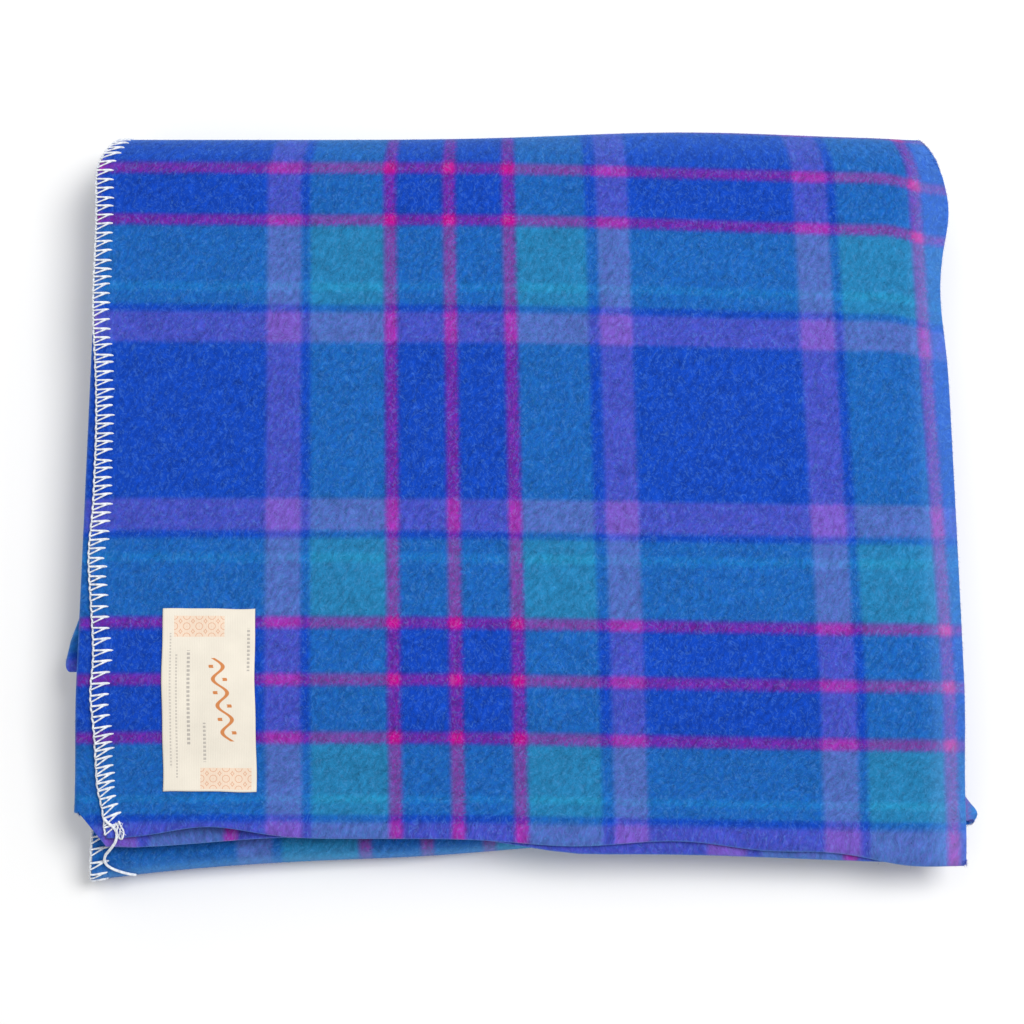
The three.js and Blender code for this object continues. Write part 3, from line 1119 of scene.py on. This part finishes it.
@dataclass(frozen=True)
class LabelFinish:
    """Cream woven ribbon, printed with plain ornament."""

    name: str = "printed_ribbon"
    cream: Triple = (0.745, 0.69, 0.59)
    peach: Triple = (0.62, 0.27, 0.13)
    wash: Triple = (0.78, 0.57, 0.42)
    orange: Triple = (0.58, 0.20, 0.05)
    grey: Triple = (0.27, 0.25, 0.24)
    blocks: tuple[Pair, ...] = ((21.5, 94.0), (36.5, 7.5))
    rows: tuple[tuple[float, ...], ...] = (
        (5.0, 14.0, 90.0, 0.35),
        (8.6, 8.0, 78.0, 0.4),
        (15.5, 26.0, 80.0, 1.0),
        (24.5, 17.0, 39.0, 0.8),
        (50.0, 68.0, 93.0, 0.9),
    )

    def material(self) -> Material:
        """Builds the material."""
        material, bench, shader = start_material(self.name, {"Roughness": 0.7, "Sheen Weight": 0.1})
        chart = bench.add("UVMap", uv_map="cloth").outputs[0]
        parts = bench.add("SeparateXYZ", {0: chart}).outputs
        ink = LabelPrint(bench, *(bench.math("MULTIPLY", part, 1 / MM) for part in parts[:2]))
        layers = []
        for middle in self.blocks:
            block = bench.math("MULTIPLY", ink.box(middle, (14.5, 6.2)), 0.7)
            layers += [(block, self.wash), (ink.scrolls(middle), self.peach)]
        layers.append((ink.garland(), self.orange))
        layers += [(ink.bars(*row), self.grey) for row in self.rows]
        colour: object = (*self.cream, 1.0)
        for mask, dye in layers:
            colour = bench.mix(mask, colour, (*dye, 1.0))
        weave = bench.add("TexWave", {"Vector": chart, "Scale": 320.0}).outputs[1]
        stains = bench.noise(bench.add("TexCoord").outputs["Object"], 60.0, 3.0)
        tint = bench.remap(stains, 0.3, 0.7, 0.94, 1.02)
        bench.dress(shader, bench.scaled(colour, tint), weave, 0.18, 0.0003)
        return material


@dataclass(frozen=True)
class PlainFinish:
    """A plain matt surface for the floor."""

    name: str
    colour: Triple

    def material(self) -> Material:
        """Builds the material."""
        settings = {"Base Color": (*self.colour, 1.0), "Roughness": 0.9, "Specular IOR Level": 0.0}
        return start_material(self.name, settings)[0]


# ------------------------------------------------------------------------- the pieces
@dataclass
class Blanket:
    """The folded sheet.

    Attributes:
        plan: Where it lies.
        rim: Distances from an edge at which the cloth gets its own lattice lines.
        rim_share: Share of its thickness there.
        lump: Height of the small lumps on its outside.
        column_steps, row_steps: Steps of the lattice on each section.
        row_crowding: How much closer together its rows start at the front.
        panel_length, run_widths: Rough lengths of the sections that end at an edge.
    """

    plan: FoldPlan
    rim: tuple[float, ...] = (0.0, 0.25, 0.7, 1.4)
    rim_share: tuple[float, ...] = (0.42, 0.74, 0.93, 1.0)
    lump: float = 0.35
    column_steps: tuple[int, ...] = (103, 8, 30, 8, 30, 8, 30)
    row_steps: tuple[int, ...] = (83, 22, 26, 12, 26, 10, 22)
    row_crowding: float = 1.15
    panel_length: float = 495.0
    run_widths: Pair = (392.0, 295.0)

    def places(self, first: Array, steps: tuple[int, ...], last: Array) -> Array:
        """Lattice places from edge to edge, after the first section's, with a rim at the far one."""
        places = [first]
        for section, number in enumerate(steps[1:], 1):
            places.append(section + np.linspace(0, 1, number + 1)[1:])
        joined = np.concatenate(places)
        joined = joined[joined < 7 - last[-1] - 0.001]
        return np.concatenate([joined, 7 - last[::-1]])

    def columns(self) -> Array:
        """Lattice places along the length."""
        rim = np.array(self.rim) / self.panel_length
        inner = np.linspace(rim[-1], 1, self.column_steps[0] + 1)[1:]
        return self.places(np.concatenate([rim, inner]), self.column_steps, rim)

    def row_places(self) -> Array:
        """Lattice places across the width."""
        first, last = (np.array(self.rim) / width for width in self.run_widths)
        inner = np.linspace(0, 1, self.row_steps[0] + 1) ** self.row_crowding
        inner = first[-1] + (1 - first[-1]) * inner[1:]
        return self.places(np.concatenate([first, inner]), self.row_steps, last)

    def lay(
        self, c: Array, q: Array, side: Array, column: Array, row: Array
    ) -> tuple[Array, Array]:
        """Lays the lattice in place, thinner at its rim and with small lumps on the outside."""
        share = np.array(self.rim_share)
        last_column, last_row = len(self.columns()) - 1, len(self.row_places()) - 1
        near = np.minimum(np.minimum(column, last_column - column), np.minimum(row, last_row - row))
        thickness = self.plan.sheet / 2 * share[np.minimum(near, len(share) - 1)]
        points, chart = self.plan.sheet_points(c, q, side * thickness)
        s, w = chart[:, 0] / MM, chart[:, 1] / MM
        wave = np.sin(s / 9.1 + 1.7 * np.sin(w / 23)) * np.sin(w / 11.3 + 1.3 * np.sin(s / 31))
        wave = wave + 0.6 * np.sin(s / 27 + w / 19) * np.sin(w / 37 - s / 53 + 1.1)
        outside = (side > 0) & (c < 1) & (q > 0.02) & (q < 1.0)
        points[:, 2] += np.where(outside, self.lump * wave * MM, 0.0) * smooth((0.97 - c) / 0.1)
        return points, self.warp(chart)

    @staticmethod
    def warp(chart: Array) -> Array:
        """Moves lengths from the selvedge to their places in the sett's chart."""
        length, width = chart[..., 0] / MM, chart[..., 1] / MM
        length = length - LENGTH_LEFT_OUT * smooth((length - 520) / 340)
        width = np.interp(width, TRUE_WIDTHS, CHART_WIDTHS)
        return np.stack([length, width], axis=-1) * MM

    def build(self, cloth: Material) -> Object:
        """Makes the cloth."""
        mesh = SheetLattice(self.columns(), self.row_places()).build("blanket_cloth", self.lay)
        return new_piece("blanket_cloth", mesh, cloth, "blanket")


@dataclass(frozen=True)
class HairPatch:
    """A part of the sheet's surface that hairs grow from.

    Attributes:
        columns: Range of places along the length.
        rows: Range of places across the width.
        side: 1 for the outer face, -1 for the inner one.
        share: Its share of the hairs.
        lean: Lift of the hairs from the surface, in degrees, lowest and highest.
        length: Length of the hairs, shortest and longest.
    """

    columns: tuple[float, float]
    rows: tuple[float, float]
    side: float
    share: float
    lean: tuple[float, float]
    length: tuple[float, float]


@dataclass
class Nap:
    """Fibres that stand out of the wool.

    Attributes:
        plan: Where the sheet lies.
        label_box: Lowest and highest X, then Y, of the part under the label, which has none.
        thickness: Radius of a fibre at its root.
        direction: Way that they are brushed on the sheet, in degrees.
        spread: How far their ways differ from it, in degrees.
        bow: How far they bend aside, as a share of their length.
    """

    plan: FoldPlan
    label_box: tuple[float, float, float, float] = (-208.0, -149.0, -177.5, -71.0)
    thickness: float = 0.046
    direction: float = -58.0
    spread: float = 48.0
    bow: float = 0.22

    def grow(
        self, name: str, patches: tuple[HairPatch, ...], count: int, rings: int, seed: int,
        material: Material,
    ) -> Object:
        """Grows hairs on patches of the sheet, as one piece.

        Args:
            name: Name of the piece.
            patches: Where they grow.
            count: Number of hairs that the patches share.
            rings: Rings of corners along each.
            seed: Seed of their scatter.
            material: Their finish.

        Returns:
            The piece's object.
        """
        rng = np.random.default_rng(seed)
        made = []
        for patch in patches:
            number = int(count * patch.share)
            c = rng.uniform(*patch.columns, number)
            q = rng.uniform(*patch.rows, number)
            made.append(self.hairs(rng, patch, c, q, rings))
        mesh = Strand(rings, 3).copies(name, *(np.concatenate(parts) for parts in zip(*made)))
        return new_piece(name, mesh, material)

    def hairs(
        self, rng: np.random.Generator, patch: HairPatch, c: Array, q: Array, rings: int
    ) -> tuple[Array, ...]:
        """Paths, radii, directions and chart places of hairs from given roots."""
        half = self.plan.sheet / 2
        offset = np.full_like(c, patch.side * half)
        root, chart = self.plan.sheet_points(c, q, offset)
        deeper, _ = self.plan.sheet_points(c, q, offset * 0.8)
        step = 1e-3
        along = unit(self.plan.sheet_points(c + step, q, offset)[0] - root)
        across = unit(self.plan.sheet_points(c, q + step, offset)[0] - root)
        normal = unit(root - deeper)
        x, y = root[:, 0] / MM, root[:, 1] / MM
        left, right, front, back = self.label_box
        covered = (x > left) & (x < right) & (y > front) & (y < back)
        clear = ~(covered & (patch.side > 0) & (c < 1))
        heading = np.radians(self.direction + rng.normal(0, self.spread, len(c)))
        lean = np.radians(rng.uniform(*patch.lean, len(c)))
        length = rng.uniform(*patch.length, len(c)) * MM
        flat = along * np.cos(heading)[:, None] + across * np.sin(heading)[:, None]
        bow = unit(np.cross(normal, flat)) * rng.normal(0, self.bow, (len(c), 1))
        paths = []
        for t in np.linspace(0, 1, rings):
            rise = np.sin(lean)[:, None] * t * (1 - 0.35 * t)
            reach = flat * np.cos(lean)[:, None] * t + normal * rise + bow * t * t
            paths.append(root - normal * 0.0001 + length[:, None] * reach)
        path = np.stack(paths, axis=1)
        taper = np.linspace(1.0, 0.12, rings)[None]
        radius = self.thickness * MM * rng.uniform(0.7, 1.25, (len(c), 1)) * taper
        up = np.repeat(normal[:, None], rings, axis=1)
        chart = Blanket.warp(chart) + rng.normal(0, 0.5 * MM, chart.shape)
        charts = np.repeat(chart[:, None], rings, axis=1)
        keep = clear & (root[:, 2] > 0.4 * MM)
        return path[keep], radius[keep], up[keep], charts[keep]


@dataclass
class EdgeStitching:
    """White yarn over a cut end: pairs of strokes on each face, and a line of yarn along the edge.

    Attributes:
        plan: Where the sheet lies.
        name: Name of the piece.
        end: 0 for the first cut end, 4 for the far one.
        height: Stack height of the panel's middle.
        upward: 1 where the outer face is above.
        pitch: Length of a wave of the yarn along the edge.
        pitches: Lengths from the selvedge, and how far apart the stitches are there.
        depth: How far the stitches reach in from the edge.
        yarn: Radius of the yarn.
        sink: How far the yarn lies in the nap.
        seed: Seed of its small unevenness.
        corner_lean: How far the stitches lean at the front corner, and where they stop leaning.
        spreads: How far each pair of strokes is apart at the edge, upper stroke first.
    """

    plan: FoldPlan
    name: str
    end: int
    height: float
    upward: float
    pitch: float = 5.3
    pitches: tuple[tuple[float, ...], ...] = (
        (52.0, 64.0, 128.0, 142.0, 840.0, 860.0, 960.0, 980.0),
        (4.4, 6.4, 6.4, 5.3, 5.3, 6.8, 6.8, 5.3),
    )
    depth: float = 9.6
    yarn: float = 0.66
    sink: float = 0.3
    seed: int = 5
    corner_lean: Pair = (2.7, 110.0)
    spreads: Pair = (-0.1, -3.4)

    def at(self, inwards: Array, lift: Array, length: Array) -> Array:
        """Places at distances in from the cut end, above the sheet's middle and along the end."""
        rows = self.plan.rows(self.plan.row_at(length, self.height))
        x = self.plan.edges(rows)[self.end] + inwards
        middle = np.full_like(x, self.height)
        return self.plan.place(x, middle + self.upward * lift, middle, rows)

    def strokes(self, starts: Array, rng: np.random.Generator) -> tuple[Array, Array, Array]:
        """Paths, radii and directions of the strokes on both faces."""
        surface = self.plan.sheet / 2 + self.yarn - self.sink
        inwards = np.array([-0.9, -0.35, 1.3, 3.2, 5.2, 7.4, 9.2, 10.4]) / 10.2
        lifts = np.array([0.25, 0.86, 1.04, 1.04, 1.02, 1.0, 0.9, 0.6])
        upper = np.array([0.8, 0.84, 0.86, 0.92, 1.04, 1.12, 0.95, 0.45])
        lower = np.array([0.66, 0.7, 0.7, 0.74, 0.8, 0.84, 0.7, 0.4])
        paths, ups, radii = [], [], []
        depth = self.depth * (1 + rng.normal(0, 0.05, starts.shape))
        most, until = self.corner_lean
        lean = rng.normal(0, 0.35, starts.shape) + most * np.clip(1 - starts / until, 0, 1)
        for face in (1.0, -1.0):
            for spread, widths in zip(self.spreads, (upper, lower)):
                share = inwards[None]
                apart = np.clip(1 - np.clip(share, 0, 1) / 0.78, 0, 1)
                length = starts[:, None] + spread * apart + lean[:, None] * share
                reach = share * depth[:, None]
                path = self.at(reach, face * lifts[None] * surface + 0 * reach, length)
                higher = self.at(reach, face * (lifts[None] * surface + 0.3) + 0 * reach, length)
                paths.append(path)
                ups.append(unit(higher - path))
                radii.append(np.broadcast_to(self.yarn * widths * MM, path.shape[:2]))
        path, up = np.concatenate(paths), np.concatenate(ups)
        radius = np.concatenate(radii) * (1 + rng.normal(0, 0.06, (len(path), 1)))
        return path, radius, up

    def edge_line(self, width: float) -> tuple[Array, Array, Array]:
        """Path, radii and directions of the yarn along the edge."""
        length = np.linspace(1.5, width - 1.5, int(width / self.pitch * 4))
        wave = 2 * np.pi * length / self.pitch
        inwards = -0.95 - 0.25 * np.cos(wave)
        path = self.at(inwards, 0.25 * np.sin(wave), length)[None]
        out = self.at(inwards - 0.5, 0.25 * np.sin(wave), length)[None]
        radius = np.full(path.shape[:2], self.yarn * 0.95 * MM)
        return path, radius, unit(out - path)

    def build(self, yarn: Material) -> Object:
        """Makes the stitching as one piece."""
        rng = np.random.default_rng(self.seed)
        width = self.plan.panel_width(self.height)
        starts = [5.4]
        while starts[-1] < width - 7:
            starts.append(starts[-1] + float(np.interp(starts[-1], *self.pitches)))
        starts = np.array(starts) + rng.normal(0, 0.28, len(starts))
        path, radius, up = self.strokes(starts, rng)
        strokes = Strand(path.shape[1], 6).copies(self.name, path, radius, up)
        line_path, line_radius, line_up = self.edge_line(width)
        line = Strand(line_path.shape[1], 6).copies("edge_line", line_path, line_radius, line_up)
        bm = bmesh.new()
        bm.from_mesh(strokes)
        bm.from_mesh(line)
        bm.to_mesh(strokes)
        bm.free()
        bpy.data.meshes.remove(line)
        strokes.shade_smooth()
        return new_piece(self.name, strokes, yarn)


@dataclass
class YarnEnd:
    """Loose end of the edge yarn and its knot.

    Attributes:
        diameter: Thickness of the yarn, in metres.
        route: Points along its middle in the part's frame, in metres.
        knot_at: Middle of the knot, in metres.
        knot_rings: Rings of corners along each strand of the knot.
        frays: Heading in radians, and reach, of each frayed bit.
    """

    diameter: float = 0.0016
    route: tuple[Triple, ...] = (
        (-0.2345, -0.1926, 0.0415),
        (-0.2321, -0.1948, 0.0415),
        (-0.2292, -0.1970, 0.0416),
        (-0.2271, -0.1998, 0.0416),
        (-0.2269, -0.2030, 0.0417),
        (-0.2280, -0.2058, 0.0402),
        (-0.2299, -0.2080, 0.0382),
        (-0.2322, -0.2102, 0.0354),
        (-0.2348, -0.2123, 0.0312),
        (-0.2361, -0.2150, 0.0276),
        (-0.2351, -0.2177, 0.0254),
        (-0.2318, -0.2199, 0.0240),
        (-0.2276, -0.2215, 0.0219),
        (-0.2235, -0.2226, 0.0196),
        (-0.2198, -0.2232, 0.0175),
    )
    knot_at: Triple = (-0.2250, -0.1990, 0.0424)
    knot_rings: int = 44
    frays: tuple[Pair, ...] = ((1.2, 4.4), (1.9, 5.2), (4.4, 4.6), (5.1, 5.4), (5.7, 4.6))

    def smooth_route(self, steps: int = 5) -> Array:
        """Points along a smooth line through the route's points."""
        points = np.array(self.route)
        padded = np.vstack([2 * points[0] - points[1], points, 2 * points[-1] - points[-2]])
        line = []
        for before, start, end, after in zip(padded, padded[1:], padded[2:], padded[3:]):
            for t in np.linspace(0, 1, steps, endpoint=False):
                line.append(
                    0.5 * (2 * start + (end - before) * t
                    + (2 * before - 5 * start + 4 * end - after) * t**2
                    + (3 * start - before - 3 * end + after) * t**3)
                )
        return np.vstack([line, points[-1]])

    def build(self, yarn: Material) -> Object:
        line = self.smooth_route()
        curve = bpy.data.curves.new("loose_yarn", "CURVE")
        curve.dimensions = "3D"
        spline = curve.splines.new("POLY")
        spline.points.add(len(line) - 1)
        spline.points.foreach_set("co", np.column_stack([line, np.ones(len(line))]).ravel())
        curve.bevel_depth = self.diameter / 2
        curve.bevel_resolution = 3
        curve.use_fill_caps = True
        piece = new_piece("loose_yarn", curve, yarn, "yarn_tail")
        knot = self.knot(yarn)
        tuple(self.route[0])
        return piece

    def knot(self, yarn: Material) -> Object:
        """Ties a small tangled knot with frayed bits."""
        rng = np.random.default_rng(11)
        middle = np.array(self.knot_at)
        t = np.linspace(0, 2 * np.pi, self.knot_rings)
        share = np.linspace(0, 1, self.knot_rings)[:, None]
        across = 1.7 * np.sin(t) * (1 - 0.45 * np.cos(t)) - 0.8 * np.cos(t)
        along = 4.4 * np.cos(t) + 0.5 * np.cos(3 * t)
        lines = [np.stack([across, along, 0.75 * np.sin(3 * t + 0.5)], axis=-1) * MM + middle]
        for heading, reach in self.frays:
            way = np.array([math.cos(heading), math.sin(heading), 0.12])
            bend = np.array([-way[1], way[0], 0.0]) * rng.normal(0, 0.9)
            lines.append(middle + (way * reach * share + bend * np.sin(2.4 * share) * share) * MM)
        radius = np.full((len(lines), self.knot_rings), 0.3 * MM)
        radius[0] = 0.52 * MM
        radius[1:] *= np.linspace(1.0, 0.35, self.knot_rings)[None]
        path = np.stack(lines)
        up = np.zeros_like(path)
        up[..., 2] = 1.0
        mesh = Strand(self.knot_rings, 6).copies("yarn_knot", path, radius, up)
        return new_piece("yarn_knot", mesh, yarn)


@dataclass
class SewnLabel:
    """Ribbon label, laid on the top layer.

    Attributes:
        plan: Where the sheet lies.
        middle: X and Y of its middle, before the cloth settles.
        slant: Change of X along it.
        width, length, thickness: Its size.
        gap: Height of its underside above the cloth.
        steps: Steps of its lattice across and along.
    """

    plan: FoldPlan
    middle: Pair = (-184.4, -121.5)
    slant: float = -0.022
    width: float = 54.0
    length: float = 104.6
    gap: float = 0.55
    thickness: float = 0.5
    steps: tuple[int, int] = (45, 85)

    def lay(
        self, u: Array, v: Array, side: Array, column: Array, row: Array
    ) -> tuple[Array, Array]:
        """Lays the ribbon on the cloth, with uneven edges."""
        ragged_u = 0.2 * np.sin(v / 17.3 + 0.6) + 0.14 * np.sin(v / 5.9)
        ragged_v = 0.25 * np.sin(u / 9.1) + 0.15 * np.sin(u / 4.7 + 1)
        edge_u, edge_v = (2 * u / self.width - 1) ** 5, (2 * v / self.length - 1) ** 5
        x = self.middle[0] - self.width / 2 + u - 0.5 * edge_u + ragged_u * np.abs(edge_u)
        y = self.middle[1] - self.length / 2 + v - 0.5 * edge_v + ragged_v * np.abs(edge_v)
        x = x + self.slant * (y - self.middle[1])
        q = (y - self.plan.front_row) / (self.plan.back_y - self.plan.front_row)
        rows = self.plan.rows(q)
        middle = np.full_like(x, 3 * self.plan.pitch)
        ripple = 0.22 * np.sin(v / 8.7 + 0.4 * np.sin(u / 9)) + 0.15 * np.sin(u / 5.2 + v / 31)
        fade = 1 - 0.45 * np.maximum(np.abs(edge_u), np.abs(edge_v))
        lift = self.plan.sheet / 2 + self.gap * fade + ripple * 0.6
        lift = lift + np.where(side > 0, self.thickness, 0.0)
        points = self.plan.place(x, middle + lift, middle, rows)
        return points, np.stack([u, v], axis=-1) * MM

    def build(self, ribbon: Material) -> Object:
        """Makes the label."""
        across, along = (
            np.linspace(0, size, steps + 1)
            for size, steps in zip((self.width, self.length), self.steps)
        )
        mesh = SheetLattice(across, along).build("ribbon_label", self.lay)
        return new_piece("ribbon_label", mesh, ribbon, "label")


# ------------------------------------------------------------------------- the studio
@dataclass
class Studio:
    """Pale floor, soft light and the camera, in metres and degrees.

    Attributes:
        target: Point that the camera looks at.
        distance, elevation, lens: Its distance, its height in degrees and its lens in mm.
        key, fill: Place, size and power of each lamp.
        sky: Strength of the even light from all round.
        floor_colour: Colour of the floor.
    """

    target: Triple = (-0.00375, -0.01688, 0.050)
    distance: float = 1.106
    elevation: float = 78.0
    lens: float = 67.0
    key: tuple[Triple, float, float] = ((1.32, 0.48, 2.65), 1.4, 64.0)
    fill: tuple[Triple, float, float] = ((-0.8, 1.2, 2.2), 1.2, 6.0)
    sky: float = 0.62
    floor_colour: Triple = (0.86, 0.86, 0.855)

    def build(self) -> None:
        """Sets the scene up."""
        self.add_floor()
        self.add_lights()
        self.add_camera()

    def add_floor(self) -> None:
        """Lays the floor under the pack."""
        bm = bmesh.new()
        bmesh.ops.create_grid(bm, x_segments=1, y_segments=1, size=6.0)
        mesh = bpy.data.meshes.new("floor")
        bm.to_mesh(mesh)
        bm.free()
        mesh.materials.append(PlainFinish("pale_floor", self.floor_colour).material())
        link_object("floor", mesh)

    @staticmethod
    def add_area(name: str, place: Triple, size: float, power: float) -> None:
        """Adds a square lamp aimed at the pack."""
        light = bpy.data.lights.new(name, "AREA")
        light.energy = power
        light.size = size
        lamp = link_object(name, light)
        lamp.location = place
        aim = np.array([0.0, 0.0, 0.02]) - np.array(place)
        lamp.rotation_mode = "QUATERNION"
        lamp.rotation_quaternion = Vector(aim).to_track_quat("-Z", "Y")

    def add_lights(self) -> None:
        """Lights the pack from the upper right, with a bright even sky."""
        world = bpy.data.worlds.new("studio_sky")
        world.use_nodes = True
        background = world.node_tree.nodes["Background"]
        background.inputs[0].default_value = (1.0, 1.0, 1.0, 1.0)
        background.inputs[1].default_value = self.sky
        bpy.context.scene.world = world
        self.add_area("key", *self.key)
        self.add_area("fill", *self.fill)

    def add_camera(self) -> None:
        """Looks down on the pack from the front."""
        camera = bpy.data.cameras.new("camera")
        camera.lens = self.lens
        camera.sensor_width = 36.0
        camera.clip_end = 50.0
        body = link_object("camera", camera)
        angle = math.radians(self.elevation)
        back = Vector((0.0, -math.cos(angle), math.sin(angle)))
        body.location = Vector(self.target) + back * self.distance
        body.rotation_mode = "QUATERNION"
        body.rotation_quaternion = (-back).to_track_quat("-Z", "Y")
        bpy.context.scene.camera = body


# Patches of the upper faces, and of the folds, ends and inner faces that show at the sides.
TOP_PATCHES = (
    HairPatch((0.02, 1.0), (0.0, 1.35), 1.0, 0.86, (6, 20), (1.4, 3.2)),
    HairPatch((0.0, 1.0), (3.2, 4.02), 1.0, 0.07, (10, 30), (1.4, 3.2)),
    HairPatch((1.0, 2.0), (0.0, 1.4), 1.0, 0.07, (15, 50), (1.2, 2.8)),
)
EDGE_PATCHES = (
    HairPatch((0.0, 7.0), (0.0, 0.004), 1.0, 0.2, (10, 60), (1.0, 2.6)),
    HairPatch((0.0, 1.0), (1.0, 1.9), 1.0, 0.2, (10, 35), (1.2, 3.0)),
    HairPatch((1.0, 2.0), (0.0, 7.0), 1.0, 0.2, (15, 60), (1.0, 2.6)),
    HairPatch((3.0, 4.0), (0.0, 7.0), -1.0, 0.15, (15, 60), (1.0, 2.6)),
    HairPatch((5.0, 6.0), (0.0, 7.0), 1.0, 0.1, (15, 60), (1.0, 2.6)),
    HairPatch((0.0, 0.02), (0.0, 7.0), 1.0, 0.1, (10, 50), (1.2, 3.0)),
    HairPatch((0.0, 1.0), (3.0, 3.6), 1.0, 0.05, (10, 40), (1.2, 2.6)),
)


def main() -> None:
    """Builds the studio and each piece in order."""
    logging.basicConfig(level=logging.INFO, format="%(name)s: %(message)s")
    bpy.context.scene.view_settings.view_transform = "Standard"
    Studio().build()
    effects = WoolEffects()
    cloth = WoolFinish("plaid_wool", strength=0.70).material(effects)
    hair = WoolFinish("wool_fibres", strength=0.78, pale=0.05).material(effects)
    yarn = YarnFinish().material()

    YarnEnd().build(yarn)
    sheet = Blanket(PLAN).build(cloth)
    near = EdgeStitching(PLAN, "edge_stitching", 0, 3 * PLAN.pitch, 1.0).build(yarn)
    far = EdgeStitching(
        PLAN, "far_edge_stitching", 4, 0.0, -1.0, yarn=0.5, sink=0.55, seed=8
    ).build(yarn)
    label = SewnLabel(PLAN).build(LabelFinish().material())
    nap = Nap(PLAN)
    nap.grow("top_nap", TOP_PATCHES, 31000, 2, 21, hair)
    nap.grow("edge_nap", EDGE_PATCHES, 9000, 4, 22, hair)
    width = PLAN.panel_width(1.5 * PLAN.pitch) * MM
    ends = PLAN.sheet_points(np.array([0.0, 7.0]), np.array([3.5, 3.5]), np.zeros(2))[1]


if __name__ == "__main__":
    main()
